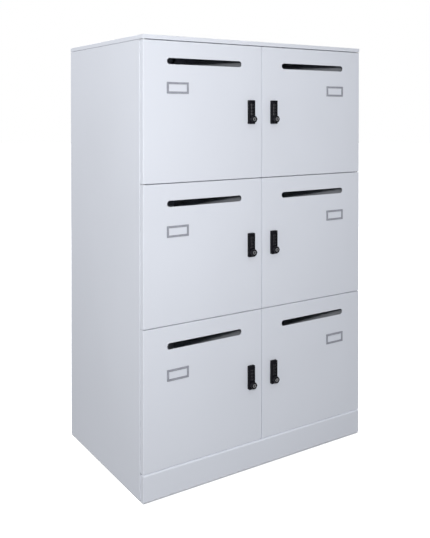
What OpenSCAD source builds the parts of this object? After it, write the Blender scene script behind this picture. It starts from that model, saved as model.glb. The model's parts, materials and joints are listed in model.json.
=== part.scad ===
// Office locker: six compartments in two columns and three rows, each with a
// mail-slot door on pin hinges, a label holder and a four-dial combination lock.
// The origin is on the floor under the middle of the locker, with the doors
// towards -Y and +Z up. All sizes are in millimetres.

/* [Cabinet] */
// Width over the side panels
cabinet_w = 800; // [720:1:1000]
// Depth from the door fronts to the back
cabinet_d = 510; // [440:1:600]
// Height from the floor to the top of the cover
cabinet_h = 1270; // [1180:1:1500]
// Height of the top cover's rim
cover_h = 12; // [10:0.5:20]
// Height of the plinth panel
plinth_h = 72; // [70:1:110]
// Gap between the floor and the sheet metal, set by the levelling feet
floor_gap = 3; // [2:0.5:6]

/* [Sheet metal] */
// Sheet of the side panels, cover, plinth and doors
panel_t = 1; // [0.8:0.1:1.2]
// Sheet of the shelves, deck, top pan, partition and back
inner_t = 0.8; // [0.6:0.1:1]
// Outer radius of the folded edges
bend_r = 1.6; // [1.4:0.1:2]
// Gap left between two parts that bear on each other
seat_gap = 0.3; // [0.2:0.05:0.4]

/* [Carcass] */
// Width of the side panels' front and back flanges
flange_w = 20; // [19:0.5:26]
// Depth of the return fold behind the front flange
return_d = 15; // [12:0.5:22]
// Height of the shadow groove between a side panel and the top cover
groove_h = 0.8; // [0.5:0.1:2]
// Depth of the shadow groove under the top cover
groove_d = 10; // [8:0.5:12]
// Width of the cover's return lips
cover_lip = 28; // [26:1:40]
// Height that a front rail reaches below the shelf's top sheet
rail_h = 25; // [22:1:35]
// Depth of a front rail's return fold
rail_d = 12; // [8:1:14]
// Height of the shelf's top sheet above the middle of the gap between two doors
shelf_rise = 8; // [5:0.5:12]
// Drop of the shelves' side and back flanges
shelf_flange = 15; // [10:1:20]
// Width of the box-section centre partition
partition_w = 24; // [20:1:30]
// Reach of the partition's front lips past its sides
partition_lip = 9; // [8:0.5:12]

/* [Doors] */
// Thickness of a door
door_t = 16; // [15:0.5:20]
// Gap between doors one above the other
row_gap = 2.2; // [2:0.1:4]
// Gap between the lowest doors and the plinth panel
plinth_gap = 4.2; // [3:0.1:8]
// Gap between the two doors of a row
centre_gap = 2; // [1.5:0.5:5]
// Distance of the doors' outer edges inside the side panels
edge_inset = 0.75; // [0.5:0.25:2]
// Gap between a door and the carcass
back_gap = 3; // [2.6:0.1:4]
// Width of a door's return lips
door_lip = 14; // [10:1:16]
// Width of a door's stiffening channel over its flanges
stiffener_w = 90; // [70:1:120]
// Width of each foot of the stiffening channel
stiffener_foot_w = 15; // [10:1:20]
// Length of the mail slot
slot_w = 250; // [180:1:280]
// Height of the mail slot
slot_h = 17.5; // [12:0.5:25]
// Distance of the mail slot's centre below the top of the door
slot_drop = 55.5; // [40:0.5:65]

/* [Hinges] */
// Distance of the hinge pin from the door's outer edge
hinge_inset = 6.5; // [6.4:0.1:6.8]
// Diameter of the hinge pin
pin_d = 5; // [4:0.5:5]
// Length of the pin inside the door's bush
pin_reach = 9; // [7:0.5:14]
// Radial clearance between the pin and its bush
pin_clearance = 0.05; // [0.02:0.01:0.1]
// Wall of the plastic bush
bush_wall = 1.2; // [1:0.1:1.3]
// Reach of the bush's inner flange past its wall
bush_flange = 0.6; // [0.4:0.1:0.6]
// Thickness of the bush's inner flange
bush_flange_t = 1.5; // [1:0.1:2]
// Distance that the bush reaches past the pin's end
bush_over = 1; // [0.5:0.25:2]
// Radial gap between a bush and the door's hole for it
bush_gap = 0.05; // [0.02:0.01:0.1]
// Thickness of the hinge leaf
leaf_t = 1.2; // [1:0.1:1.4]
// Width of the leaf on each side of the pin
leaf_margin = 2.5; // [2:0.1:3]
// Gap around a leaf in the side panel's slot
leaf_slot_gap = 0.5; // [0.3:0.05:0.7]
// Height of the hinge bracket's plate behind the flange
bracket_h = 36; // [30:1:50]

/* [Label holders] */
// Outer width of a label holder
label_w = 70; // [60:1:90]
// Outer height of a label holder
label_h = 32; // [26:1:40]
// Thickness of a label holder
label_t = 2; // [1.5:0.1:3]
// Width of the border around the card window
label_border = 6; // [3:0.5:7]
// Radius of a label holder's corners
label_corner_r = 1.5; // [1:0.25:3]
// Radius of a label holder's front edges
label_edge_r = 0.6; // [0.4:0.1:0.8]
// Depth of the pocket for the card
card_pocket_t = 0.6; // [0.4:0.1:0.8]
// Distance that the card pocket reaches past the window
card_margin = 2; // [1:0.5:2.5]
// Distance of the label holder's centre below the top of the door, in the top row
label_drop = 129; // [105:1:150]
// Further drop of the label holder in each row below the top one
label_step = 3.5; // [0:0.5:6]
// Distance of the label holder's near end from the door's outer edge
label_inset = 73; // [40:1:120]

/* [Lock body] */
// Width of the lock's front plate
lock_w = 22; // [21.5:0.5:30]
// Height of the lock's front plate
lock_h = 70; // [69:1:85]
// Distance that the front plate stands proud of the door
lock_t = 8.5; // [8:0.5:11]
// Radius of the plate's corners
lock_corner_r = 2; // [1.5:0.5:5]
// Radius of the plate's front edges
lock_edge_r = 1; // [0.5:0.25:2]
// Distance of the lock's centre line from the middle of the cabinet
lock_from_centre = 42; // [38:0.5:50]
// Margin of the front plate around the door's cut-out
lock_margin = 2.5; // [2:0.25:3.5]
// Gap between the housing and the edges of the door's cut-out
housing_gap = 0.2; // [0.1:0.05:0.5]
// Depth of the housing behind the door skin
housing_d = 12; // [11:0.5:12.5]
// Height of the clamp strip behind the housing
clamp_h = 15; // [10:1:20]
// Width of the clamp strip over its feet
clamp_w = 41; // [38:1:46]
// Gap between the housing's sides and the clamp strip
clamp_gap = 1.4; // [1:0.1:2]
// Diameter of the recess for the code-setting pin, above the dials
reset_d = 5; // [4:0.5:6]
// Depth of that recess
reset_depth = 0.6; // [0.3:0.1:1]
// Diameter of the hole in that recess
reset_hole_d = 2; // [1.5:0.5:3]

/* [Lock dials] */
// Diameter over the corners of a dial
dial_d = 14; // [12:0.5:14]
// Width of the finger scoop across each dial
scoop_w = 17; // [15:0.5:18]
// Depth of the finger scoop
scoop_depth = 1.4; // [0.8:0.1:1.8]
// Height of a dial
dial_h = 6.6; // [5:0.1:7]
// Distance from one dial to the next
dial_pitch = 9; // [8.5:0.1:9.5]
// Distance that a dial stands out of the front plate
dial_proud = 1.2; // [0.8:0.1:1.6]
// Height of the top dial's centre above the lock's centre
dial_top = 21; // [20:0.5:22]
// Diameter of the dials' axle
axle_d = 3; // [2:0.5:4]
// Gap around a dial in its pocket
dial_gap = 0.3; // [0.2:0.05:0.4]

/* [Lock knob] */
// Diameter of the knob over its corners
knob_d = 21; // [18:0.5:22]
// Distance that the knob stands in front of the plate
knob_t = 11.5; // [8:0.5:14]
// Height of the round collar under the knob's grip
collar_t = 2; // [1:0.25:2.5]
// Diameter of the collar
collar_d = 16; // [14:0.5:17]
// Depth by which the knob's six corners are rounded off
knob_corner = 0.25; // [0.1:0.05:0.6]
// Radius of the knob's rim
knob_rim_r = 1; // [0.5:0.25:2]
// Distance of the knob's axis below the lock's centre
knob_drop = 21; // [20.5:0.25:24]
// Side of the square at the spindle's end
square_w = 5.2; // [4:0.1:5.6]
// Diameter of the spindle behind the knob
spindle_d = 8; // [6:0.5:10]
// Diameter of the key core in the knob's face
core_d = 12; // [9:0.5:13]
// Length of the key core
core_l = 8; // [5:0.5:8]
// Width of the key slot in the core
keyway_w = 1.5; // [1:0.1:2]
// Length of the key slot
keyway_l = 7; // [5:0.5:8]
// Depth of the key slot
keyway_depth = 4; // [2:0.5:5]
// Distance of the core's face inside the knob's face
core_recess = 0.2; // [0.1:0.05:0.5]
// Gap around the key core and around the cam's square hole
core_gap = 0.1; // [0.05:0.05:0.2]
// Width of the cam
cam_w = 16; // [14:0.5:18]
// Thickness of the cam
cam_t = 2.5; // [2:0.1:3]
// Radius of the cam's tip corners
cam_tip_r = 4; // [2:0.5:6]
// Height of the cam's screw head
screw_t = 2; // [1.5:0.1:3]
// Gap between the cam and the lip that it catches behind
cam_gap = 0.8; // [0.5:0.1:1.5]
// Distance that the cam's tip stays clear of the partition's side
cam_tip_gap = 1.5; // [1:0.1:2.5]

/* [Base] */
// Width of the base channels
channel_w = 45; // [42:1:60]
// Sheet of the base channels
channel_t = 1.5; // [1.2:0.1:2]
// Outer radius of the channels' folds
channel_r = 3; // [2.5:0.5:5]
// Height of the base channels' underside above the floor
channel_z = 12; // [10:0.5:16]
// Diameter of a foot pad
foot_d = 36; // [30:1:40]
// Height of a foot pad
foot_h = 6; // [5:0.5:8]
// Chamfer of a foot's edges
foot_edge = 1; // [0.5:0.1:1.5]
// Diameter of a foot's stud
stud_d = 10; // [8:1:12]
// Radial gap between a stud and the holes that it passes through
stud_gap = 0.1; // [0.05:0.05:0.3]
// Height of a foot's stud above the floor
stud_top = 42; // [34:1:50]
// Distance of the feet from the front and back of the carcass
foot_inset = 36; // [32:1:60]
// Side of a spacer behind the plinth panel
spacer_w = 12; // [8:1:14]

/* [Hidden] */
$fn = 48;
ROWS = 3;
ROW_NAMES = ["top", "middle", "bottom"];
SIDES = [-1, 1];
DIALS = 4;
// Overshoot of a cut past the face that it opens
cut = 1;

function side_name(side) = side < 0 ? "left" : "right";
function place_name(row, side) = str(ROW_NAMES[row], "_", side_name(side));

PLACES = [for (row = [0 : ROWS - 1], side = SIDES) place_name(row, side)];

// Depth: the knobs' faces and the back are equally far from the origin
knob_reach = lock_t + knob_t;
front_y = (knob_reach - cabinet_d) / 2;
back_y = front_y + cabinet_d;
carcass_y = front_y + door_t + back_gap;
back_panel_y = back_y - panel_t - inner_t;
inner_back_y = back_panel_y - seat_gap;

// Height: plinth, then three rows of doors, then the cover
plinth_top = floor_gap + plinth_h;
doors_z = plinth_top + plinth_gap;
cover_z = cabinet_h - cover_h;
row_pitch = (cover_z - doors_z) / ROWS;
door_h = row_pitch - row_gap;
side_top = cover_z - groove_h;
function gap_z(level) = doors_z - row_gap / 2 + level * row_pitch;
function door_z(row) = gap_z(ROWS - row) - row_pitch / 2;

// Width
door_w = (cabinet_w - centre_gap) / 2 - edge_inset;
door_x = (centre_gap + door_w) / 2;
hinge_x = cabinet_w / 2 - edge_inset - hinge_inset;
hinge_y = front_y + door_t / 2;
shelf_side_x = cabinet_w / 2 - panel_t - seat_gap;
rail_side_x = cabinet_w / 2 - flange_w - seat_gap;
rail_centre_x = partition_w / 2 + partition_lip + seat_gap;
wing_y = carcass_y + return_d + seat_gap;
deck_z = gap_z(0) + shelf_rise;
partition_back_y = inner_back_y - inner_t - seat_gap;
header_bottom = cover_z - rail_h;

// Hinges
pin_bore_r = pin_d / 2 + pin_clearance;
bush_r = pin_bore_r + bush_wall;
bush_end = pin_reach + bush_over;
leaf_w = pin_d + 2 * leaf_margin;
bracket_y = carcass_y + panel_t;
bracket_back_y = bracket_y + leaf_t + seat_gap;

// Lock
cutout_w = lock_w - 2 * lock_margin;
cutout_h = lock_h - 2 * lock_margin;
dial_y = dial_d / 2 - lock_t - dial_proud;
pocket_r = dial_d / 2 + dial_gap;
pocket_h = dial_h + 2 * dial_gap;
scoop_r = (pow(scoop_w / 2, 2) + pow(scoop_depth, 2)) / (2 * scoop_depth);
cam_y = door_t + back_gap + panel_t + cam_gap;
cam_reach = lock_from_centre - partition_w / 2 - cam_tip_gap;

// Base
channel_h = deck_z - rail_h - seat_gap - channel_z;
foot_x = cabinet_w / 2 - panel_t - seat_gap - channel_w / 2;
FOOT_YS = [carcass_y + foot_inset, back_y - foot_inset];

// Profiles

// Unit vector along v.
function unit(v) = v / norm(v);

// A sheet t thick that follows the centre line path, with each inner point
// folded square to the outer radius r.
module folded(path, t, r) {
    rc = r - t / 2;
    last = len(path) - 1;
    for (i = [0 : last - 1]) {
        along = unit(path[i + 1] - path[i]);
        across = [-along[1], along[0]] * t / 2;
        a = path[i] + along * (i > 0 ? rc : 0);
        b = path[i + 1] - along * (i < last - 1 ? rc : 0);
        polygon([a + across, b + across, b - across, a - across]);
    }
    for (i = [1 : last - 1]) {
        u = unit(path[i] - path[i - 1]);
        v = unit(path[i + 1] - path[i]);
        c = path[i] + (v - u) * rc;
        intersection() {
            translate(c) difference() {
                circle(r);
                circle(r - t);
            }
            polygon([c, c + 2 * r * u, c + 2 * r * (u - v), c - 2 * r * v]);
        }
    }
}

// A folded profile drawn across X and Z, carried along Y.
module fold_along_y(path, t, r, y0, y1)
    translate([0, y1, 0]) rotate([90, 0, 0]) linear_extrude(y1 - y0) folded(path, t, r);

// A folded profile drawn across Y and Z, carried along X.
module fold_along_x(path, t, r, x0, x1)
    translate([x0, 0, 0]) rotate([90, 0, 90]) linear_extrude(x1 - x0) folded(path, t, r);

// Section w wide and t deep below the X axis, with its two upper corners rounded to r.
module edge_profile(w, t, r) {
    translate([-w / 2, -t]) square([w, t - r]);
    translate([r - w / 2, -t]) square([w - 2 * r, t]);
    for (s = SIDES) translate([s * (w / 2 - r), -r]) circle(r);
}

// Block w by h and t deep under the XY plane, with the edges of its upper face rounded to r.
module slab(w, h, t, r) intersection() {
    rotate([90, 0, 0]) linear_extrude(h, center = true) edge_profile(w, t, r);
    rotate([90, 0, 90]) linear_extrude(w, center = true) edge_profile(h, t, r);
}

// Pan of sheet t thick, folded down d on all four sides, with return lips around its open underside.
module pan(w, h, d, t, lip) difference() {
    slab(w, h, d, bend_r);
    translate([0, 0, -t]) slab(w - 2 * t, h - 2 * t, d - 2 * t, bend_r - t);
    translate([0, 0, -d]) cube([w - 2 * lip, h - 2 * lip, 2 * t + cut], center = true);
}

// Rounded rectangle w by h, centred.
module rounded_rect(w, h, r) {
    square([w - 2 * r, h], center = true);
    square([w, h - 2 * r], center = true);
    for (sx = SIDES, sy = SIDES) translate([sx * (w / 2 - r), sy * (h / 2 - r)]) circle(r);
}

// Slot w by h with round ends, centred.
module stadium(w, h) {
    square([w - h, h], center = true);
    for (s = SIDES) translate([s * (w - h) / 2, 0]) circle(h / 2);
}

// Turns a shape drawn in XY with its face up so that the face points to the front.
module face_front() rotate([90, 0, 0]) children();

// Copies at the left side, and at the right as a mirror image.
module for_side(side) mirror([side < 0 ? 0 : 1, 0, 0]) children();

// Carcass

module top_cover() color("ghostwhite")
    translate([0, (front_y + back_y) / 2, cabinet_h])
        pan(cabinet_w, cabinet_d, cover_h, panel_t, cover_lip);

// A folded sheet between the carcass sides: top sheet at height z, front rail
// from x0 to x1, and wings from wx0 to wx1 behind the side panels' return folds.
module tray(z, x0, x1, wx0, wx1, wy) {
    c = inner_t / 2;
    fold_along_x([
        [carcass_y + rail_d, z - rail_h + c],
        [carcass_y + c, z - rail_h + c],
        [carcass_y + c, z - c],
        [inner_back_y - c, z - c],
        [inner_back_y - c, z - shelf_flange]
    ], inner_t, bend_r, x0, x1);
    fold_along_y([
        [wx0 + c, z - shelf_flange],
        [wx0 + c, z - c],
        [wx1 - c, z - c],
        [wx1 - c, z - shelf_flange]
    ], inner_t, bend_r, wy, inner_back_y);
}

module carcass_top() color("ghostwhite") {
    wing_x = cabinet_w / 2 - groove_d;
    tray(cover_z, -rail_side_x, rail_side_x, -wing_x, wing_x, bracket_back_y);
}

// Slots in a side panel's front flange that the hinge leaves pass through.
module leaf_slots() {
    w = leaf_w + 2 * leaf_slot_gap;
    h = leaf_t + 2 * leaf_slot_gap;
    for (level = [0 : ROWS - 1])
        translate([-hinge_x - w / 2, carcass_y - cut, gap_z(level) - h / 2])
            cube([w, panel_t + 2 * cut, h]);
}

// Outer skin with a boxed front edge, a back flange and a folded-in top edge.
module side_panel(side) color("ghostwhite") for_side(side) {
    c = panel_t / 2;
    carcass_d = back_y - carcass_y;
    difference() {
        translate([-cabinet_w / 2, carcass_y, floor_gap])
            linear_extrude(side_top - 2 * bend_r - floor_gap) folded([
                [flange_w - c, return_d],
                [flange_w - c, c],
                [c, c],
                [c, carcass_d - c],
                [flange_w, carcass_d - c]
            ], panel_t, bend_r);
        leaf_slots();
    }
    translate([-cabinet_w / 2, 0, side_top]) fold_along_y([
        [c, -2 * bend_r],
        [c, -c],
        [groove_d - seat_gap, -c]
    ], panel_t, bend_r, bracket_back_y, back_y - bend_r);
}

module back_panel() color("ghostwhite") {
    w = 2 * shelf_side_x - 2 * bend_r;
    translate([-w / 2, back_panel_y, floor_gap + bend_r])
        cube([w, inner_t, side_top - floor_gap - 2 * bend_r]);
}

// Box section on the deck, with a front plate whose lips the cams catch behind.
module centre_partition() color("ghostwhite") {
    w = partition_w;
    plate_w = w + 2 * partition_lip;
    h = cover_z - inner_t - seat_gap - deck_z;
    difference() {
        translate([0, 0, deck_z]) linear_extrude(h) {
            translate([-plate_w / 2, carcass_y]) square([plate_w, panel_t]);
            difference() {
                translate([-w / 2, carcass_y]) square([w, partition_back_y - carcass_y]);
                translate([inner_t - w / 2, carcass_y + panel_t])
                    square([w - 2 * inner_t, partition_back_y - carcass_y - panel_t - inner_t]);
            }
        }
        translate([-plate_w, carcass_y - cut, header_bottom - seat_gap])
            cube([2 * plate_w, rail_d + seat_gap + cut, rail_h + cut]);
    }
}

// Shelves at the two levels between the rows, one on each side of the partition.
module shelves() color("ghostwhite")
    for (side = SIDES, level = [1 : ROWS - 1]) for_side(side)
        tray(gap_z(level) + shelf_rise, -rail_side_x, -rail_centre_x,
             -shelf_side_x, -partition_w / 2 - seat_gap, wing_y);

module base_deck() color("ghostwhite")
    tray(deck_z, -rail_side_x, rail_side_x, -shelf_side_x, shelf_side_x, wing_y);

// Base

// Path of a C channel w wide and channel_h high, open towards +X.
function channel_path(w) = let (c = channel_t / 2) [
    [w, c],
    [c, c],
    [c, channel_h - c],
    [w, channel_h - c]
];

// Hexagon nut welded over a foot's hole.
module weld_nut() {
    h = 0.8 * stud_d;
    translate([0, 0, channel_z + channel_t]) cylinder(h, d = 1.9 * stud_d, $fn = 6);
}

module base_frame() color("gainsboro") {
    bore_r = stud_d / 2 + stud_gap;
    side_x = cabinet_w / 2 - panel_t - seat_gap;
    cross_x = side_x - channel_w - seat_gap;
    for (side = SIDES) for_side(side) difference() {
        union() {
            translate([-side_x, 0, channel_z])
                fold_along_y(channel_path(channel_w), channel_t, channel_r, wing_y, inner_back_y);
            for (y = FOOT_YS) translate([-foot_x, y, 0]) weld_nut();
        }
        for (y = FOOT_YS) translate([-foot_x, y, channel_z - cut])
            cylinder(stud_top, r = bore_r);
    }
    translate([0, carcass_y, channel_z])
        fold_along_x(channel_path(channel_w - channel_r), channel_t, channel_r, -cross_x, cross_x);
    mirror([0, 1, 0]) translate([0, -inner_back_y, channel_z])
        fold_along_x(channel_path(channel_w - channel_r), channel_t, channel_r, -cross_x, cross_x);
}

// Pan that stands in line with the doors, on spacers against the side panels' flanges.
module plinth_front() color("ghostwhite") {
    w = cabinet_w - 2 * edge_inset;
    spacer_x = cabinet_w / 2 - flange_w / 2;
    translate([0, front_y, floor_gap + plinth_h / 2]) face_front()
        pan(w, plinth_h, door_t, panel_t, door_lip);
    for (side = SIDES, z = [floor_gap + door_lip / 2, plinth_top - door_lip])
        translate([side * spacer_x, carcass_y - back_gap / 2, z])
            cube([spacer_w, back_gap, spacer_w], center = true);
}

module levelling_feet() color("dimgray")
    for (side = SIDES, y = FOOT_YS) translate([side * foot_x, y, 0]) {
        rotate_extrude() polygon([
            [0, 0],
            [foot_d / 2 - foot_edge, 0],
            [foot_d / 2, foot_edge],
            [foot_d / 2, foot_h / 2],
            [stud_d, foot_h],
            [stud_d / 2, foot_h],
            [stud_d / 2, stud_top - foot_edge],
            [stud_d / 2 - foot_edge, stud_top],
            [0, stud_top]
        ]);
    }

// Hinges

// A leaf in the gap between two doors, with a plate behind the side panel's
// flange and a riveted pin that reaches down, up or both ways.
module hinge_bracket(level) {
    down = level > 0;
    up = level < ROWS;
    x0 = bend_r + seat_gap;
    plate_w = flange_w - 2 * x0;
    plate_z0 = -bracket_h / 2;
    plate_z1 = up ? bracket_h / 2 : leaf_t / 2;
    pin_end = row_gap / 2 + pin_reach;
    rivet_end = row_gap / 2 - seat_gap;
    translate([-hinge_x, hinge_y, gap_z(level)]) {
        cylinder(leaf_t, d = leaf_w, center = true);
        translate([-leaf_w / 2, 0, -leaf_t / 2])
            cube([leaf_w, bracket_y - hinge_y + leaf_t, leaf_t]);
        translate([0, 0, down ? -pin_end : -rivet_end])
            cylinder((down ? pin_end : rivet_end) + (up ? pin_end : rivet_end), d = pin_d);
    }
    translate([x0 - cabinet_w / 2, bracket_y, gap_z(level) + plate_z0])
        cube([plate_w, leaf_t, plate_z1 - plate_z0]);
}

module hinge_brackets() color("silver")
    for (side = SIDES, level = [0 : ROWS]) for_side(side) hinge_bracket(level);

// Doors

// Carries shapes drawn for a left door to the door in a given row and side.
// Their X is measured from the door's middle and runs towards the lock.
module at_door(row, side)
    for_side(side) translate([-door_x, front_y, door_z(row)]) children();

hinge_edge_x = -door_w / 2;
door_hinge_x = hinge_edge_x + hinge_inset;
lock_x = door_x - lock_from_centre;

module door_skin() difference() {
    face_front() pan(door_w, door_h, door_t, panel_t, door_lip);
    translate([0, -cut, door_h / 2 - slot_drop]) face_front()
        linear_extrude(2 * (panel_t + cut), center = true) stadium(slot_w, slot_h);
    translate([lock_x, panel_t / 2, 0])
        cube([cutout_w, panel_t + 2 * cut, cutout_h], center = true);
    translate([door_hinge_x, door_t / 2, 0])
        cylinder(door_h + 2 * cut, r = bush_r + bush_gap, center = true);
}

// Plastic bush in the door's top or bottom edge, flush with it and flanged inside.
// It is drawn at the top edge.
module bush() translate([door_hinge_x, door_t / 2, door_h / 2]) difference() {
    union() {
        translate([0, 0, -bush_end]) cylinder(bush_end, r = bush_r);
        translate([0, 0, -panel_t - bush_gap - bush_flange_t])
            cylinder(bush_flange_t, r = bush_r + bush_flange);
    }
    translate([0, 0, -bush_end - cut]) cylinder(bush_end + 2 * cut, r = pin_bore_r);
}

// Hat-section channel behind the skin, from the bottom flange up to under the slot.
module stiffener() {
    c = inner_t / 2;
    y0 = panel_t + c;
    y1 = door_t - panel_t - seat_gap;
    top = door_h / 2 - slot_drop - slot_h - door_lip;
    bottom = door_lip - door_h / 2;
    translate([0, 0, bottom]) linear_extrude(top - bottom) folded([
        [-stiffener_w / 2, y0],
        [stiffener_foot_w - stiffener_w / 2, y0],
        [stiffener_foot_w - stiffener_w / 2, y1],
        [stiffener_w / 2 - stiffener_foot_w, y1],
        [stiffener_w / 2 - stiffener_foot_w, y0],
        [stiffener_w / 2, y0]
    ], inner_t, bend_r);
}

module door(row, side) color("lavender") at_door(row, side) {
    door_skin();
    stiffener();
    bush();
    mirror([0, 0, 1]) bush();
}

// Plate w by h, standing t in front of the XZ plane, with corners of radius r
// and front edges rounded to edge_r.
module front_plate(w, h, t, r, edge_r) face_front() intersection() {
    linear_extrude(t) rounded_rect(w, h, r);
    translate([0, 0, t]) slab(w, h, t, edge_r);
}

// Frame around the card window, with a shallow pocket behind it that the card
// slides into from the lock's side.
module label_holder(row, side) color("darkgray") at_door(row, side)
    translate([hinge_edge_x + label_inset + label_w / 2, 0, door_h / 2 - label_drop - row * label_step]) {
        window_w = label_w - 2 * label_border;
        window_h = label_h - 2 * label_border;
        difference() {
            front_plate(label_w, label_h, label_t, label_corner_r, label_edge_r);
            cube([window_w, 2 * label_t + cut, window_h], center = true);
            translate([-window_w / 2 - card_margin, -card_pocket_t, -window_h / 2 - card_margin])
                cube([label_w, card_pocket_t + cut, window_h + 2 * card_margin]);
        }
    }

// Locks

// Heights of the dials from the lock's centre.
function dial_z(i) = dial_top - (i - 1) * dial_pitch;

// Folded strip that bridges the housing and bears on the back of the door skin.
module lock_clamp() {
    c = inner_t / 2;
    bridge_x = cutout_w / 2 - housing_gap + clamp_gap + c;
    bridge_y = panel_t + housing_d + seat_gap + c;
    translate([0, 0, clamp_h / 2]) linear_extrude(clamp_h, center = true) folded([
        [-clamp_w / 2, panel_t + c],
        [-bridge_x, panel_t + c],
        [-bridge_x, bridge_y],
        [bridge_x, bridge_y],
        [bridge_x, panel_t + c],
        [clamp_w / 2, panel_t + c]
    ], inner_t, bend_r);
}

module lock_body(row, side) color("black") at_door(row, side) translate([lock_x, 0, 0]) {
    reset_z = (lock_h / 2 + dial_top + pocket_h / 2) / 2;
    difference() {
        union() {
            front_plate(lock_w, lock_h, lock_t, lock_corner_r, lock_edge_r);
            translate([housing_gap - cutout_w / 2, 0, housing_gap - cutout_h / 2])
                cube([cutout_w - 2 * housing_gap, panel_t + housing_d, cutout_h - 2 * housing_gap]);
        }
        for (i = [1 : DIALS]) translate([0, 0, dial_z(i)]) {
            translate([0, dial_y, 0]) cylinder(pocket_h, r = pocket_r, center = true);
            translate([0, scoop_depth - scoop_r - lock_t, 0]) cylinder(pocket_h, r = scoop_r, center = true);
        }
        translate([0, 0, reset_z]) face_front() {
            translate([0, 0, lock_t - reset_depth]) cylinder(reset_depth + cut, d = reset_d);
            cylinder(lock_t, d = reset_hole_d);
        }
        translate([0, 0, -knob_drop]) face_front()
            cylinder(2 * (lock_t + door_t), r = spindle_d / 2 + pin_clearance, center = true);
    }
    translate([0, dial_y, dial_z(DIALS) - dial_pitch / 2])
        cylinder(DIALS * dial_pitch, d = axle_d);
    lock_clamp();
}

// Ten-sided number wheel with softened corners and one of its flats to the front.
module dial(row, side, i) color("dimgray")
    at_door(row, side) translate([lock_x, dial_y, dial_z(i)]) difference() {
        intersection() {
            cylinder(dial_h, d = dial_d, center = true, $fn = 10);
            cylinder(dial_h, d = 0.985 * dial_d, center = true);
        }
        cylinder(dial_h + 2 * cut, d = axle_d + 2 * pin_clearance, center = true);
    }

// Disc of radius r and height h with its upper rim rounded.
module rimmed_disc(r, h, rim_r) rotate_extrude() {
    square([r, h - rim_r]);
    square([r - rim_r, h]);
    translate([r - rim_r, h - rim_r]) circle(rim_r);
}

// Hexagonal grip with a round collar, on a spindle that reaches through the
// door and ends in a square for the cam, with the cam's screw.
module knob() {
    face_front() difference() {
        union() {
            translate([0, 0, lock_t + seat_gap]) cylinder(collar_t, d = collar_d);
            intersection() {
                translate([0, 0, lock_t + collar_t])
                    cylinder(knob_t - collar_t, d = knob_d, $fn = 6);
                translate([0, 0, lock_t]) rimmed_disc(knob_d / 2 - knob_corner, knob_t, knob_rim_r);
            }
            translate([0, 0, core_gap - cam_y]) cylinder(cam_y + lock_t + collar_t, d = spindle_d);
            translate([0, 0, -cam_y - cam_t / 2])
                cube([square_w, square_w, cam_t + 3 * core_gap], center = true);
            translate([0, 0, -cam_y - cam_t - core_gap - screw_t]) cylinder(screw_t, d = spindle_d);
        }
        translate([0, 0, lock_t + knob_t - core_l]) cylinder(core_l + cut, r = core_d / 2 + core_gap);
    }
}

// Cylinder for the key, with its slot, a little below the knob's face.
module key_core() {
    h = core_l - core_gap - core_recess;
    face_front() translate([0, 0, lock_t + knob_t - core_l + core_gap]) difference() {
        cylinder(h, d = core_d);
        translate([0, 0, h]) cube([keyway_w, keyway_l, 2 * keyway_depth], center = true);
    }
}

// Latch plate on the spindle's square, hanging down while the lock is open.
module cam() {
    face_front() translate([0, 0, -cam_y - cam_t]) linear_extrude(cam_t) difference() {
        union() {
            circle(d = cam_w);
            translate([-cam_w / 2, cam_tip_r - cam_reach]) square([cam_w, cam_reach - cam_tip_r]);
            translate([cam_tip_r - cam_w / 2, -cam_reach]) square([cam_w - 2 * cam_tip_r, cam_tip_r]);
            for (s = SIDES) translate([s * (cam_w / 2 - cam_tip_r), cam_tip_r - cam_reach]) circle(cam_tip_r);
        }
        square(square_w + 2 * core_gap, center = true);
    }
}

module lock_knob(row, side) color("darkslategray")
    at_door(row, side) translate([lock_x, 0, -knob_drop]) {
        knob();
        key_core();
        cam();
    }

// Assembly

top_cover();
carcass_top();
side_panel(-1);  // side_panel_left
side_panel(1);  // side_panel_right
back_panel();
centre_partition();
shelves();
base_deck();
base_frame();
plinth_front();
levelling_feet();
hinge_brackets();

for (row = [0 : ROWS - 1], side = SIDES) {
    place = place_name(row, side);
    door(row, side);
    label_holder(row, side);
    lock_body(row, side);
    lock_knob(row, side);
    for (i = [1 : DIALS])
        dial(row, side, i);
}
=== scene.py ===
"""Office locker: finishes, dial digits, key faces, plinth fold, rivets, door stops and the stage."""

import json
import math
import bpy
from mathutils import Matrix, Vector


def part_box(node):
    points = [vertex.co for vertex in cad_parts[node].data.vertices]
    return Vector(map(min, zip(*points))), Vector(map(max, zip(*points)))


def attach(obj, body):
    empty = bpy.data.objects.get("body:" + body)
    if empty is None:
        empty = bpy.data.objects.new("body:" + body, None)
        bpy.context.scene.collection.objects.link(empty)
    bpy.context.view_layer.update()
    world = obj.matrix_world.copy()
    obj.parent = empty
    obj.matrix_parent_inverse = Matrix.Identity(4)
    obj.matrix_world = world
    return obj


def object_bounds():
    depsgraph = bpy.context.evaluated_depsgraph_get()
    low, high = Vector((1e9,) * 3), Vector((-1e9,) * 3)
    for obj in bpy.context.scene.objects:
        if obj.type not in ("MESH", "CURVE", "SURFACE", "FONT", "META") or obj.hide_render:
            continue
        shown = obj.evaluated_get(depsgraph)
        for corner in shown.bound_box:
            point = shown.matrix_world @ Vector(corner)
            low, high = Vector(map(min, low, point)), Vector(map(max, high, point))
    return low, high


bl_info = {
    "name": "Office Locker",
    "version": (1, 0, 0),
    "blender": (4, 5, 0),
    "location": "3D View > Sidebar > Locker",
    "description": "Paints the locker, fits its small parts and sets the studio stage",
    "category": "Object",
}

import bpy
import numpy as np
from bpy.props import FloatProperty, FloatVectorProperty, IntProperty, PointerProperty
from mathutils import Euler, Matrix, Vector

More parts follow.
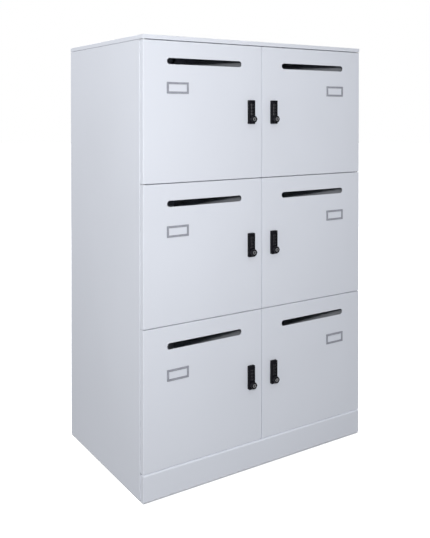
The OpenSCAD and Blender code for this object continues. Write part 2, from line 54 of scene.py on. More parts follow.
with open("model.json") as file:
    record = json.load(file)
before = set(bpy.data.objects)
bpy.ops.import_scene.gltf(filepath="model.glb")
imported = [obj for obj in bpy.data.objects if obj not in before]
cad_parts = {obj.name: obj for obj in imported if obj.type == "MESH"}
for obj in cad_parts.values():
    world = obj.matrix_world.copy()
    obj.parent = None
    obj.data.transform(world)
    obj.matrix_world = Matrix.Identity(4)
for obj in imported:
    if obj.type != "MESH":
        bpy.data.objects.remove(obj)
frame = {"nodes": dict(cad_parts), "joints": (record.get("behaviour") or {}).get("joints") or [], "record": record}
CAD_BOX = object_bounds()

MM = 0.001
ROWS = ("top", "middle", "bottom")
SIDES = ("left", "right")
PLACES = [f"{row}_{side}" for row in ROWS for side in SIDES]
DIALS = (1, 2, 3, 4)
DIGITS = 10
UPWARD = (0, 0, 1)
FRONTWARD = (0, -1, 0)
BACKWARD = (0, 1, 0)
WHITE = (1, 1, 1, 1)


# Sizes and colours that a user would change


class LockerFinish(bpy.types.PropertyGroup):
    """Colours and gloss of the locker's surfaces."""

    coat: FloatVectorProperty(
        name="Powder coat", description="Colour of the outer sheet metal",
        subtype="COLOR", size=3, min=0, max=1, default=(0.715, 0.742, 0.808))
    coat_gloss: FloatProperty(
        name="Coat roughness", description="Roughness of the satin powder coat",
        min=0, max=1, default=0.46, subtype="FACTOR")
    # Painted highlight: the plinth's fold gets the coat times this factor, so it reads lighter than the rest and
    # stands in for the light its upturned edge catches.
    fold_tone: FloatProperty(
        name="Fold highlight", description="Brightness of the plinth's fold as a share of the outer coat's",
        min=0.5, max=1.3, default=1.12, subtype="FACTOR")
    peel_size: FloatProperty(
        name="Orange peel", description="Distance between the coat's ripples",
        min=0.0005, max=0.01, default=1.8 * MM, unit="LENGTH", precision=4)
    peel_depth: FloatProperty(
        name="Peel depth", description="Depth of the coat's ripples",
        min=0, max=0.001, default=0.012 * MM, unit="LENGTH", precision=6)
    zinc: FloatVectorProperty(
        name="Zinc", description="Colour of the plated hinges and base frame",
        subtype="COLOR", size=3, min=0, max=1, default=(0.52, 0.53, 0.54))
    nickel: FloatVectorProperty(
        name="Nickel", description="Colour of the rings round the key cores",
        subtype="COLOR", size=3, min=0, max=1, default=(0.40, 0.40, 0.41))
    lock_black: FloatVectorProperty(
        name="Lock black", description="Colour of the lock's moulded case",
        subtype="COLOR", size=3, min=0, max=1, default=(0.0065, 0.0065, 0.0095))
    dial_black: FloatVectorProperty(
        name="Dial black", description="Colour of the number dials",
        subtype="COLOR", size=3, min=0, max=1, default=(0.011, 0.011, 0.014))
    knob_black: FloatVectorProperty(
        name="Knob black", description="Colour of the turning grip",
        subtype="COLOR", size=3, min=0, max=1, default=(0.009, 0.009, 0.012))
    frame_grey: FloatVectorProperty(
        name="Label grey", description="Colour of the label holders",
        subtype="COLOR", size=3, min=0, max=1, default=(0.315, 0.325, 0.372))
    ink: FloatVectorProperty(
        name="Digit ink", description="Colour of the digits printed on the dials",
        subtype="COLOR", size=3, min=0, max=1, default=(0.115, 0.115, 0.12))
    rubber: FloatVectorProperty(
        name="Rubber", description="Colour of the feet",
        subtype="COLOR", size=3, min=0, max=1, default=(0.03, 0.03, 0.032))
    stop_rubber: FloatVectorProperty(
        name="Door stop rubber", description="Colour of the pale pads that the doors close on",
        subtype="COLOR", size=3, min=0, max=1, default=(0.55, 0.56, 0.58))


class LockerParts(bpy.types.PropertyGroup):
    """Sizes of the small parts that the dressed locker gets."""

    digit_height: FloatProperty(
        name="Digit height", description="Height of a digit on a dial",
        min=0.001, max=0.006, default=3.4 * MM, unit="LENGTH", precision=4)
    digit_narrowing: FloatProperty(
        name="Digit narrowing", description="Width of the digits as a share of the built-in face's",
        min=0.4, max=1.2, default=0.7, subtype="FACTOR")
    ink_relief: FloatProperty(
        name="Ink relief", description="Height of the printed digits over the dial's flats",
        min=0.00001, max=0.0003, default=0.06 * MM, unit="LENGTH", precision=5)
    fold_gap: FloatProperty(
        name="Plinth fold gap", description="Gap between the plinth's top fold and the doors",
        min=0.0003, max=0.003, default=0.5 * MM, unit="LENGTH", precision=4)
    key_face_radius: FloatProperty(
        name="Key face radius", description="Radius of the nickel face over the key core",
        min=0.003, max=0.007, default=5.4 * MM, unit="LENGTH", precision=4)
    key_hole_radius: FloatProperty(
        name="Key hole radius", description="Radius of the hole in the nickel face",
        min=0.001, max=0.004, default=2.0 * MM, unit="LENGTH", precision=4)
    keyway_width: FloatProperty(
        name="Keyway width", description="Width of the keyway",
        min=0.0005, max=0.003, default=1.6 * MM, unit="LENGTH", precision=4)
    keyway_height: FloatProperty(
        name="Keyway height", description="Height of the keyway",
        min=0.002, max=0.01, default=7.0 * MM, unit="LENGTH", precision=4)
    stop_diameter: FloatProperty(
        name="Door stop", description="Diameter of the pads that the doors close on",
        min=0.004, max=0.014, default=9.0 * MM, unit="LENGTH", precision=4)
    stop_height: FloatProperty(
        name="Door stop height", description="Height of the pads that the doors close on",
        min=0.0005, max=0.0028, default=2.2 * MM, unit="LENGTH", precision=4)
    rivet_diameter: FloatProperty(
        name="Rivet", description="Diameter of the blind rivets' heads",
        min=0.003, max=0.01, default=6.4 * MM, unit="LENGTH", precision=4)
    rivet_height: FloatProperty(
        name="Rivet height", description="Height of the blind rivets' heads",
        min=0.0003, max=0.003, default=1.1 * MM, unit="LENGTH", precision=4)
    rivet_rows: IntProperty(
        name="Rivets a side", description="Number of rivets in each back flange",
        min=2, max=12, default=7)


class LockerStage(bpy.types.PropertyGroup):
    """The camera, the lights, the white room and the floor."""

    eye: FloatVectorProperty(
        name="Eye", description="Place of the camera", subtype="TRANSLATION",
        size=3, default=(-1.2860, -1.9528, 1.0543))
    yaw: FloatProperty(
        name="Yaw", description="Turn of the camera about the upright axis",
        default=math.radians(-33.207), subtype="ANGLE")
    pitch: FloatProperty(
        name="Pitch", description="Tilt of the camera above the horizon",
        default=math.radians(-0.5), subtype="ANGLE")
    lens: FloatProperty(
        name="Lens", description="Focal length on the upright film frame, in millimetres",
        min=20, max=200, default=47.72)
    film_height: FloatProperty(
        name="Film height", description="Long side of the upright film frame, in millimetres",
        min=10, max=60, default=36.0)
    film_width: FloatProperty(
        name="Film width", description="Short side of the upright film frame, in millimetres",
        min=10, max=60, default=24.0)
    rise: FloatProperty(
        name="Rise", description="Vertical shift of the lens, in film heights",
        min=-0.5, max=0.5, default=-0.2763)
    key_power: FloatProperty(
        name="Key light", description="Power of the small lamp just above the camera",
        min=0, max=1000, default=15.0, unit="POWER")
    front_power: FloatProperty(
        name="Front light", description="Power of the softbox above the camera",
        min=0, max=1000, default=14.4, unit="POWER")
    side_power: FloatProperty(
        name="Side light", description="Power of the large light high up at the left",
        min=0, max=1000, default=38.8, unit="POWER")
    top_power: FloatProperty(
        name="Top light", description="Power of the large light high above the camera",
        min=0, max=1000, default=13.8, unit="POWER")
    back_power: FloatProperty(
        name="Back light", description="Power of the large light behind the locker",
        min=0, max=1000, default=110.0, unit="POWER")
    air: FloatProperty(
        name="Room light", description="Strength of the even light from all round",
        min=0, max=2, default=0.363)
    air_tint: FloatVectorProperty(
        name="Room tint", description="Colour of the even light from all round",
        subtype="COLOR", size=3, min=0, max=1, default=(0.97, 0.98, 1))
    floor_radius: FloatProperty(
        name="Floor radius", description="Radius of the round studio floor",
        min=3, max=60, default=24.0, unit="LENGTH")
    floor_tint: FloatVectorProperty(
        name="Floor tint", description="Colour of the round studio floor",
        subtype="COLOR", size=3, min=0, max=1, default=(0.86, 0.87, 0.88))


GROUPS = {"locker_finish": LockerFinish, "locker_parts": LockerParts, "locker_stage": LockerStage}


# Surfaces: a shape is a pair of its points and its faces


def joint_place(name):
    """Pivot of a joint, in metres."""
    return next(Vector(joint["pos_m"]) for joint in frame["joints"] if joint["name"] == name)


def lofted(rings, hollow=False):
    """Shape of a closed skin through rings, an array of k rings of m points.

    Point (i, j) is ring i at step j. Quads join (i, j), (i, j+1), (i+1, j+1) and (i+1, j). A hollow
    skin also joins the last ring to the first, and on any other skin each end ring is closed by
    triangles to the mean of its points.
    """
    k, m, _ = rings.shape
    step = np.arange(m)
    after = np.roll(step, -1)
    if hollow:
        row = np.arange(k)[:, None] * m
        next_row = np.roll(row, -1, 0)
        quads = np.stack([row + step, row + after, next_row + after, next_row + step], -1)
        return rings.reshape(-1, 3), quads.reshape(-1, 4).tolist()
    points = np.concatenate([rings.reshape(-1, 3), rings[:1].mean(1), rings[-1:].mean(1)])
    rows = np.arange(k - 1)[:, None] * m
    quads = np.stack([rows + step, rows + after, rows + m + after, rows + m + step], -1)
    start = np.stack([after, step, np.full(m, k * m)], -1)
    last = (k - 1) * m
    end = np.stack([last + step, last + after, np.full(m, k * m + 1)], -1)
    return points, quads.reshape(-1, 4).tolist() + start.tolist() + end.tolist()


def turned(profile, segments):
    """Rings of a profile of (radius, height) pairs turned about Z: (r cos a, r sin a, h)."""
    radius, height = np.asarray(profile, float).T
    a = np.linspace(0, 2 * math.pi, segments, endpoint=False)
    return np.stack([
        radius[:, None] * np.cos(a), radius[:, None] * np.sin(a),
        np.broadcast_to(height[:, None], (len(height), segments)),
    ], -1)


def moved(shape, place):
    """A shape taken to its place by a 4x4 matrix: p' = R p + t."""
    points, faces = shape
    place = np.asarray(place, float)
    return points @ place[:3, :3].T + place[:3, 3], faces


def joined(shapes):
    """Several shapes as one: points one after another, and faces numbered on from each start."""
    counts = [len(points) for points, _ in shapes]
    starts = (np.cumsum(counts) - counts).tolist()
    faces = [[corner + start for corner in face]
             for start, (_, own_faces) in zip(starts, shapes) for face in own_faces]
    return np.concatenate([points for points, _ in shapes]), faces


def facing(place, outward):
    """Matrix that takes +Z to outward and +Y to upward, at a place."""
    z = Vector(outward).normalized()
    x = Vector(UPWARD).cross(z).normalized()
    y = z.cross(x)
    turn = Matrix((x, y, z)).transposed().to_4x4()
    return Matrix.Translation(place) @ turn


def add_piece(name, shape, material, body, smooth_under=35):
    """A mesh piece with its place in its vertices, shaded smooth below the given angle in degrees."""
    points, faces = shape
    mesh = bpy.data.meshes.new(name)
    mesh.from_pydata(points.tolist(), [], faces)
    mesh.polygons.foreach_set("use_smooth", np.ones(len(mesh.polygons), bool))
    mesh.set_sharp_from_angle(angle=math.radians(smooth_under))
    mesh.materials.append(material)
    mesh.update()
    piece = bpy.data.objects.new(name, mesh)
    bpy.context.scene.collection.objects.link(piece)
    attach(piece, body)


# Materials


def new_material(name):
    """A node material with its tree, its shader and the Object coordinates."""
    mat = bpy.data.materials.new(name)
    mat.use_nodes = True
    tree = mat.node_tree
    shader = tree.nodes["Principled BSDF"]
    where = tree.nodes.new("ShaderNodeTexCoord").outputs["Object"]
    return mat, tree, shader, where


def noise(tree, where, size, detail=2, stretch=None):
    """Noise whose features are about size metres apart, with its coordinates scaled by stretch."""
    node = tree.nodes.new("ShaderNodeTexNoise")
    node.inputs["Scale"].default_value = 1 / size
    node.inputs["Detail"].default_value = detail
    if stretch:
        mapping = tree.nodes.new("ShaderNodeMapping")
        mapping.inputs["Scale"].default_value = stretch
        tree.links.new(where, mapping.inputs["Vector"])
        where = mapping.outputs["Vector"]
    tree.links.new(where, node.inputs["Vector"])
    return node.outputs["Fac"]


def ranged(tree, value, low, high, start=0.3, end=0.7):
    """value taken from start..end to low..high, and held there outside it."""
    node = tree.nodes.new("ShaderNodeMapRange")
    for socket, number in zip(("From Min", "From Max", "To Min", "To Max"), (start, end, low, high)):
        node.inputs[socket].default_value = number
    tree.links.new(value, node.inputs["Value"])
    return node.outputs["Result"]


def blended(tree, value, first, second):
    """Colour that goes from first to second as value goes from 0 to 1.

    A Mix node's sockets A, B and Result for colours have the names of those for numbers and vectors,
    so they are taken by their place.
    """
    node = tree.nodes.new("ShaderNodeMix")
    node.data_type = "RGBA"
    colour_a, colour_b, colour_result = node.inputs[6], node.inputs[7], node.outputs[2]
    tree.links.new(value, node.inputs["Factor"])
    colour_a.default_value = (*first, 1)
    colour_b.default_value = (*second, 1)
    return colour_result


def relief(tree, shader, height, depth, before=None):
    """Bump of the given depth in metres, on top of an earlier bump."""
    node = tree.nodes.new("ShaderNodeBump")
    node.inputs["Distance"].default_value = depth
    tree.links.new(height, node.inputs["Height"])
    if before:
        tree.links.new(before, node.inputs["Normal"])
    tree.links.new(node.outputs["Normal"], shader.inputs["Normal"])
    return node.outputs["Normal"]


def shade(colour, factor):
    """A colour times a factor, with no channel above 1."""
    return tuple(min(1.0, channel * factor) for channel in colour)


def drifting_tone(tree, shader, where, colour, darkest, lightest, size, detail=2):
    """Base colour that drifts between two shades of a colour, in patches about size metres apart."""
    patches = ranged(tree, noise(tree, where, size, detail), 0, 1)
    tone = blended(tree, patches, shade(colour, darkest), shade(colour, lightest))
    tree.links.new(tone, shader.inputs["Base Color"])


def drifting_gloss(tree, shader, where, roughness, swing, size, detail=2):
    """Roughness that drifts to either side by the swing, in patches about size metres apart."""
    patches = noise(tree, where, size, detail)
    drift = ranged(tree, patches, roughness - swing, roughness + swing)
    tree.links.new(drift, shader.inputs["Roughness"])


def powder_coat(name, colour, finish):
    """Satin powder coat: faint cloudiness in the tone, uneven gloss, orange peel and a fine grain."""
    mat, tree, shader, where = new_material(name)
    drifting_tone(tree, shader, where, colour, darkest=0.985, lightest=1.015, size=350 * MM)
    drifting_gloss(tree, shader, where, finish.coat_gloss, swing=0.03, size=20 * MM, detail=3)
    peel = relief(tree, shader, noise(tree, where, finish.peel_size, detail=1), finish.peel_depth)
    grain_size = finish.peel_size / 6
    grain_depth = finish.peel_depth / 8
    relief(tree, shader, noise(tree, where, grain_size, detail=1), grain_depth, before=peel)
    shader.inputs["IOR"].default_value = 1.48
    return mat


def plated(name, colour):
    """Zinc or nickel plating: blotchy spangle in the tone and gloss, with a drawn grain."""
    mat, tree, shader, where = new_material(name)
    drifting_tone(tree, shader, where, colour, darkest=0.86, lightest=1.12, size=6 * MM, detail=3)
    drifting_gloss(tree, shader, where, roughness=0.35, swing=0.07, size=4 * MM)
    drawn_grain = noise(tree, where, size=1.2 * MM, stretch=(1, 1, 0.15))
    relief(tree, shader, drawn_grain, depth=0.01 * MM)
    shader.inputs["Metallic"].default_value = 1.0
    return mat


def moulded(name, colour, roughness, grain, depth, specular=0.5):
    """Moulded plastic: fine spark-eroded grain with a little gloss variation."""
    mat, tree, shader, where = new_material(name)
    drifting_tone(tree, shader, where, colour, darkest=0.9, lightest=1.1, size=10 * MM)
    drifting_gloss(tree, shader, where, roughness, swing=0.04, size=3 * MM)
    relief(tree, shader, noise(tree, where, grain), depth)
    shader.inputs["Specular IOR Level"].default_value = specular
    return mat


def paint_nodes(nodes, material):
    """Puts one material in every slot of the named CAD nodes."""
    for name in nodes:
        for slot in frame["nodes"][name].material_slots:
            slot.material = material


def nodes_of(slot):
    """CAD nodes whose finish is the given slot of the record."""
    return [part["node"] for part in frame["record"]["subparts"] if part["material_slot"] == slot]


# Operators


class LOCKER_OT_paint_sheet_metal(bpy.types.Operator):
    """Powder-coats the carcass, the doors and the inner sheets"""

    bl_idname = "locker.paint_sheet_metal"
    bl_label = "Paint Sheet Metal"

    def execute(self, context):
        finish = context.scene.locker_finish
        for slot, name, tone in (
            ("painted_steel", "powder coat outside", 1.0),
            ("painted_door", "powder coat doors", 1.0),
            ("inner_steel", "powder coat inside", 0.98),
        ):
            coat = powder_coat(name, shade(finish.coat, tone), finish)
            paint_nodes(nodes_of(slot), coat)
        return {"FINISHED"}


class LOCKER_OT_plate_fittings(bpy.types.Operator):
    """Zinc-plates the hinges and the base frame and gives the feet their rubber"""

    bl_idname = "locker.plate_fittings"
    bl_label = "Plate Fittings"

    def execute(self, context):
        finish = context.scene.locker_finish
        zinc = plated("zinc plating", finish.zinc)
        paint_nodes(nodes_of("zinc_steel"), zinc)
        rubber = moulded("foot rubber", finish.rubber, roughness=0.7, grain=1.2 * MM, depth=0.03 * MM)
        paint_nodes(nodes_of("foot"), rubber)
        return {"FINISHED"}


class LOCKER_OT_mould_locks(bpy.types.Operator):
    """Finishes the lock cases, grips, dials and label holders"""

    bl_idname = "locker.mould_locks"
    bl_label = "Mould Locks"

    def execute(self, context):
        finish = context.scene.locker_finish
        for slot, name, colour, roughness, grain, depth, specular in (
            ("lock_case", "lock case grain", finish.lock_black, 0.5, 0.6 * MM, 0.015 * MM, 0.12),
            ("lock_knob", "grip satin", finish.knob_black, 0.42, 0.8 * MM, 0.006 * MM, 0.2),
            ("lock_dial", "dial satin", finish.dial_black, 0.42, 0.5 * MM, 0.005 * MM, 0.15),
            ("label_frame", "label holder satin", finish.frame_grey, 0.4, 0.6 * MM, 0.008 * MM, 0.5),
        ):
            plastic = moulded(name, colour, roughness, grain, depth, specular)
            paint_nodes(nodes_of(slot), plastic)
        return {"FINISHED"}


def digit_shape(digit, height, thickness, narrowing):
    """Shape of a digit in the built-in face, centred, height tall and thickness deep."""
    curve = bpy.data.curves.new("digit", "FONT")
    curve.body = str(digit)
    curve.size = 1.0
    curve.resolution_u = 3
    curve.extrude = 0.5
    text = bpy.data.objects.new("digit", curve)
    bpy.context.scene.collection.objects.link(text)
    bpy.context.view_layer.update()
    mesh = bpy.data.meshes.new_from_object(text)
    points = np.empty(len(mesh.vertices) * 3)
    mesh.vertices.foreach_get("co", points)
    points = points.reshape(-1, 3)
    faces = [list(face.vertices) for face in mesh.polygons]
    bpy.data.objects.remove(text)
    bpy.data.curves.remove(curve)
    bpy.data.meshes.remove(mesh)
    low, high = points.min(0), points.max(0)
    scale = height / (high[1] - low[1])
    points = (points - (low + high) / 2) * (scale * narrowing, scale, thickness / (high[2] - low[2]))
    return points, faces


class LOCKER_OT_print_dials(bpy.types.Operator):
    """Prints the ten digits on the flats of every dial"""

    bl_idname = "locker.print_dials"
    bl_label = "Print Dials"

    def execute(self, context):
        finish = context.scene.locker_finish
        parts = context.scene.locker_parts
        ink = moulded("digit ink", finish.ink, roughness=0.5, grain=0.4 * MM, depth=0.002 * MM)
        half_sunk = 2 * parts.ink_relief
        shapes = [digit_shape(digit, parts.digit_height, half_sunk, parts.digit_narrowing)
                  for digit in range(DIGITS)]
        for place in PLACES:
            for number in DIALS:
                node = f"dial_{number}_{place}"
                axis = joint_place(f"{node}_turn")
                low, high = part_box(node)
                flat = (high.y - low.y) / 2
                printed = []
                for digit, shape in enumerate(shapes):
                    a = 2 * math.pi * digit / DIGITS
                    outward = Vector((math.sin(a), -math.cos(a), 0))
                    printed.append(moved(shape, facing(axis + outward * flat, outward)))
                add_piece(f"digits_{node}", joined(printed), ink, node)
        return {"FINISHED"}


def key_ring(radius, hole, width, height, segments=96):
    """Rings of the nickel face round a key core: up its rim, over the face, down its hole and back.

    The rim is a circle with a small chamfer. The hole is a circle with the keyway's ends cut into it:
    at angle a its radius is the larger of the hole's and min(w/2 / |cos a|, h/2 / |sin a|). Heights
    count from the core's own face: the seat lies under it, the lip over it, and the face is dished.
    """
    a = np.linspace(0, 2 * math.pi, segments, endpoint=False)
    cos, sin = np.cos(a), np.sin(a)
    tiny = 1e-9
    to_side = width / 2 / np.maximum(np.abs(cos), tiny)
    to_end = height / 2 / np.maximum(np.abs(sin), tiny)
    inner = np.maximum(hole, np.minimum(to_side, to_end))
    outer = np.full(segments, radius)
    seat, lip, chamfer, dish = -0.25 * MM, 0.15 * MM, 0.2 * MM, 0.12 * MM
    rows = [
        (outer, seat), (outer, lip - chamfer), (outer - chamfer, lip),
        (inner + chamfer / 2, lip - dish), (inner, lip - dish - chamfer / 2), (inner, seat),
    ]
    return np.stack([np.stack([r * cos, r * sin, np.full(segments, z)], -1) for r, z in rows])


class LOCKER_OT_fit_key_faces(bpy.types.Operator):
    """Fits the nickel ring over each key core"""

    bl_idname = "locker.fit_key_faces"
    bl_label = "Fit Key Faces"

    def execute(self, context):
        parts = context.scene.locker_parts
        nickel = plated("nickel key face", context.scene.locker_finish.nickel)
        rings = key_ring(parts.key_face_radius, parts.key_hole_radius,
                         parts.keyway_width, parts.keyway_height)
        shape = lofted(rings, hollow=True)
        for place in PLACES:
            axis = joint_place(f"knob_{place}_turn")
            low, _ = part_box(f"lock_knob_{place}")
            at = facing((axis.x, low.y, axis.z), FRONTWARD)
            add_piece(f"key_face_{place}", moved(shape, at), nickel, f"knob_{place}")
        return {"FINISHED"}


def fold_profile(front, back, low, bend, top, steps=12):
    """Outline (y, z) of a folded edge: up the front, then round a quarter ellipse to the back.

    Over the bend y = back - a cos t and z = bend + b sin t, with a = back - front and b = top - bend,
    from t = 0, where the front ends, to t = 90 degrees at the back.
    """
    t = np.linspace(0, math.pi / 2, steps)
    bent = np.stack([back - (back - front) * np.cos(t), bend + (top - bend) * np.sin(t)], -1)
    return np.concatenate([[(back, low), (front, low)], bent])


class LOCKER_OT_fold_plinth(bpy.types.Operator):
    """Rounds the plinth's top edge up to the lowest doors"""

    bl_idname = "locker.fold_plinth"
    bl_label = "Fold Plinth"

    def execute(self, context):
        finish = context.scene.locker_finish
        parts = context.scene.locker_parts
        low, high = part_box("plinth_front")
        door_low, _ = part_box("door_bottom_left")
        proud, overlap, depth, end_inset = 0.03 * MM, 2.4 * MM, 9 * MM, 1 * MM
        outline = fold_profile(front=low.y - proud, back=low.y + depth, low=high.z - overlap,
                               bend=high.z - overlap / 3, top=door_low.z - parts.fold_gap)
        ends = (low.x + end_inset, high.x - end_inset)
        rings = np.stack([np.insert(outline, 0, x, axis=1) for x in ends])
        # Painted highlight: the fold's coat is the outer coat made lighter by a set factor, for the light that the
        # plinth's top edge catches.
        coat = powder_coat("powder coat fold painted highlight", shade(finish.coat, finish.fold_tone), finish)
        add_piece("plinth_fold", lofted(rings), coat, "carcass")
        return {"FINISHED"}


def dome_profile(radius, height, steps=6, sunk=0.2):
    """Profile of a low dome: r = R cos t, h = H sin t, over a straight edge sunk by a share of H.

    t stops one step short of 90 degrees, and the skin closes the small flat top that is left.
    """
    t = np.linspace(0, math.pi / 2, steps + 1)[:-1]
    edge = np.array([[radius, -sunk * height]])
    dome = np.stack([radius * np.cos(t), height * np.sin(t)], -1)
    return np.concatenate([edge, dome])


class LOCKER_OT_fit_fixings(bpy.types.Operator):
    """Sets the blind rivets that hold the back panel"""

    bl_idname = "locker.fit_fixings"
    bl_label = "Fit Fixings"

    def execute(self, context):
        finish = context.scene.locker_finish
        parts = context.scene.locker_parts
        coat = powder_coat("powder coat rivets", finish.coat, finish)
        low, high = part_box("back_panel")
        side_low, side_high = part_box("side_panel_left")
        flange_x = (side_low.x + side_high.x) / 2
        back_y = CAD_BOX[1].y
        end_margin = 40 * MM
        heights = np.linspace(low.z + end_margin, high.z - end_margin, parts.rivet_rows)
        head = lofted(turned(dome_profile(parts.rivet_diameter / 2, parts.rivet_height), segments=20))
        rivets = [moved(head, facing((sign * flange_x, back_y, z), BACKWARD))
                  for sign in (-1, 1) for z in heights]
        add_piece("back_rivets", joined(rivets), coat, "carcass")
        return {"FINISHED"}


class LOCKER_OT_fit_door_stops(bpy.types.Operator):
    """Sticks small pale pads to the partition for the doors to close on"""

    bl_idname = "locker.fit_door_stops"
    bl_label = "Fit Door Stops"

    def execute(self, context):
        finish = context.scene.locker_finish
        parts = context.scene.locker_parts
        rubber = moulded("door stop rubber", finish.stop_rubber,
                         roughness=0.35, grain=2 * MM, depth=0.01 * MM)
        low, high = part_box("centre_partition")
        edge_margin, end_margin = 1 * MM, 26 * MM
        stop_x = (high.x - low.x) / 2 - parts.stop_diameter / 2 - edge_margin
        pad = lofted(turned(dome_profile(parts.stop_diameter / 2, parts.stop_height), segments=24))
        stops = []
        for place in PLACES:
            door_low, door_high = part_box(f"door_{place}")
            sign = -1 if place.endswith("left") else 1
            for z in (door_low.z + end_margin, door_high.z - end_margin):
                stops.append(moved(pad, facing((sign * stop_x, low.y, z), FRONTWARD)))
        add_piece("door_stops", joined(stops), rubber, "carcass")
        return {"FINISHED"}


def soft_light(name, place, target, size, power):
    """A rectangular softbox of the given width and height that faces a target."""
    data = bpy.data.lights.new(name, "AREA")
    data.shape = "RECTANGLE"
    data.size, data.size_y = size
    data.energy = power
    light = bpy.data.objects.new(name, data)
    light.location = place
    light.rotation_euler = (Vector(target) - Vector(place)).to_track_quat("-Z", "Y").to_euler()
    bpy.context.scene.collection.objects.link(light)


def white_room(tint, strength):
    """World that looks white behind the locker and lights it evenly with the given strength."""
    world = bpy.data.worlds.new("white room")
    bpy.context.scene.world = world
    world.use_nodes = True
    tree = world.node_tree
    air = tree.nodes["Background"]
    air.inputs["Color"].default_value = (*tint, 1)
    air.inputs["Strength"].default_value = strength
    seen = tree.nodes.new("ShaderNodeBackground")
    seen.inputs["Color"].default_value = WHITE
    path = tree.nodes.new("ShaderNodeLightPath")
    mix = tree.nodes.new("ShaderNodeMixShader")
    tree.links.new(path.outputs["Is Camera Ray"], mix.inputs["Fac"])
    tree.links.new(air.outputs["Background"], mix.inputs[1])
    tree.links.new(seen.outputs["Background"], mix.inputs[2])
    tree.links.new(mix.outputs["Shader"], tree.nodes["World Output"].inputs["Surface"])


def calculated(tree, operation, first, second=0.0):
    """Result of a Math node on a socket and on a second socket or number."""
    node = tree.nodes.new("ShaderNodeMath")
    node.operation = operation
    for given, socket in zip((first, second), node.inputs):
        if isinstance(given, float):
            socket.default_value = given
        else:
            tree.links.new(given, socket)
    return node.outputs[0]


def floor_finish(tint):
    """Pale matt finish with a glow of its own, which grows to full white far from the locker.

    The glow grows with the distance from the middle, between near and far. It fades out below the
    cabinet, where the larger of |x - x0| - w/2 and |y - y0| - d/2 falls under zero, which leaves a
    painted contact shadow on the floor seen in the gap under the plinth.
    """
    glow, full = 0.72, 1.0
    near, far = 1.5, 6.0
    fade = 0.5 * MM
    mat, tree, shader, where = new_material("pale floor")
    shader.inputs["Base Color"].default_value = (*tint, 1)
    shader.inputs["Roughness"].default_value = 0.9
    shader.inputs["Specular IOR Level"].default_value = 0.0
    shader.inputs["Emission Color"].default_value = WHITE
    length = tree.nodes.new("ShaderNodeVectorMath")
    length.operation = "LENGTH"
    tree.links.new(where, length.inputs[0])
    parts = tree.nodes.new("ShaderNodeSeparateXYZ")
    tree.links.new(where, parts.inputs[0])
    low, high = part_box("top_cover")
    reach = []
    for axis in (0, 1):
        offset = calculated(tree, "SUBTRACT", parts.outputs[axis], (low[axis] + high[axis]) / 2)
        away = calculated(tree, "ABSOLUTE", offset)
        reach.append(calculated(tree, "SUBTRACT", away, (high[axis] - low[axis]) / 2))
    # Painted contact shadow: the glow is cut to nothing under the cabinet, so the floor under the plinth stays
    # dark.
    outside = ranged(tree, calculated(tree, "MAXIMUM", *reach), 0, 1, start=-fade, end=0)
    growing = ranged(tree, length.outputs["Value"], glow, full, start=near, end=far)
    tree.links.new(calculated(tree, "MULTIPLY", growing, outside), shader.inputs["Emission Strength"])
    return mat


def studio_floor(radius, tint, segments=96):
    """Round floor, (r cos a, r sin a, 0), that the camera sees and diffuse and glossy rays don't."""
    a = np.linspace(0, 2 * math.pi, segments, endpoint=False)
    points = np.stack([radius * np.cos(a), radius * np.sin(a), np.zeros_like(a)], -1)
    mesh = bpy.data.meshes.new("studio_floor")
    mesh.from_pydata(points.tolist(), [], [list(range(segments))])
    mesh.materials.append(floor_finish(tint))
    floor = bpy.data.objects.new("studio_floor", mesh)
    bpy.context.scene.collection.objects.link(floor)
    floor.visible_diffuse = False
    floor.visible_glossy = False


def stage_camera(stage):
    """Camera at the eye, turned and tilted, with its lens and its vertical shift."""
    data = bpy.data.cameras.new("camera")
    data.sensor_fit = "VERTICAL"
    data.sensor_height = stage.film_height
    data.sensor_width = stage.film_width
    data.lens = stage.lens
    data.shift_y = stage.rise
    camera = bpy.data.objects.new("camera", data)
    camera.location = stage.eye
    camera.rotation_euler = Euler((math.pi / 2 + stage.pitch, 0, stage.yaw))
    scene = bpy.context.scene
    scene.collection.objects.link(camera)
    scene.camera = camera


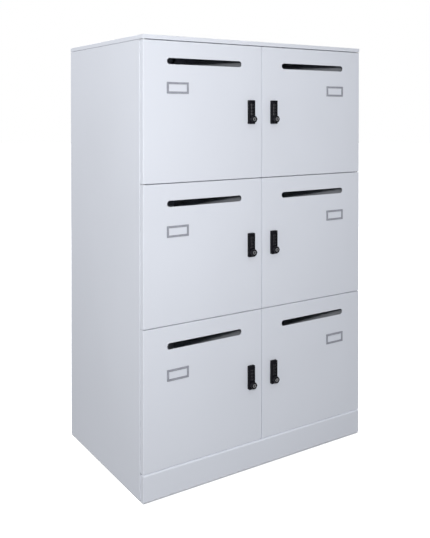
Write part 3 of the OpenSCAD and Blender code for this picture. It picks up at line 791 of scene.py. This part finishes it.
class LOCKER_OT_set_stage(bpy.types.Operator):
    """Sets the floor, the lights, the white room and the camera"""

    bl_idname = "locker.set_stage"
    bl_label = "Set Stage"

    def execute(self, context):
        stage = context.scene.locker_stage
        context.scene.view_settings.view_transform = "Standard"
        studio_floor(stage.floor_radius, stage.floor_tint)
        white_room(stage.air_tint, stage.air)
        for name, place, target, size, power in (
            ("key lamp", (-1.28, -1.97, 1.15), (0, -0.245, 0.8), (0.05, 0.03), stage.key_power),
            ("front softbox", (-1.1, -2.08, 1.35), (0, -0.245, 1.0), (0.6, 0.35), stage.front_power),
            ("side softbox", (-2.4, 0.9, 2.6), (-0.4, 0, 0.6), (2.0, 2.0), stage.side_power),
            ("top softbox", (-1.0, -2.2, 3.2), (0, -0.2, 0.6), (2.5, 1.5), stage.top_power),
            ("back softbox", (1.6, 3.6, 2.6), (0, 0, 0.65), (3.0, 2.0), stage.back_power),
        ):
            soft_light(name, place, target, size, power)
        stage_camera(stage)
        return {"FINISHED"}


OPERATORS = (
    LOCKER_OT_paint_sheet_metal,
    LOCKER_OT_plate_fittings,
    LOCKER_OT_mould_locks,
    LOCKER_OT_print_dials,
    LOCKER_OT_fit_key_faces,
    LOCKER_OT_fold_plinth,
    LOCKER_OT_fit_fixings,
    LOCKER_OT_fit_door_stops,
    LOCKER_OT_set_stage,
)


class LOCKER_PT_tools(bpy.types.Panel):
    """Lists the locker's settings and steps"""

    bl_idname = "LOCKER_PT_tools"
    bl_label = "Office Locker"
    bl_space_type = "VIEW_3D"
    bl_region_type = "UI"
    bl_category = "Locker"

    def draw(self, context):
        for group in GROUPS:
            box = self.layout.box()
            settings = getattr(context.scene, group)
            for name in settings.bl_rna.properties.keys():
                if name not in ("rna_type", "name"):
                    box.prop(settings, name)
        for operator in OPERATORS:
            self.layout.operator(operator.bl_idname)


CLASSES = (*GROUPS.values(), *OPERATORS, LOCKER_PT_tools)


def register():
    """Registers the classes and gives the scene its three groups of settings."""
    for cls in CLASSES:
        bpy.utils.register_class(cls)
    for name, group in GROUPS.items():
        setattr(bpy.types.Scene, name, PointerProperty(type=group))


def unregister():
    """Takes the settings off the scene and unregisters the classes, the last one first."""
    for name in GROUPS:
        delattr(bpy.types.Scene, name)
    for cls in reversed(CLASSES):
        bpy.utils.unregister_class(cls)


def main():
    register()
    for operator in OPERATORS:
        group, step = operator.bl_idname.split(".")
        getattr(getattr(bpy.ops, group), step)()


if __name__ == "__main__":
    main()
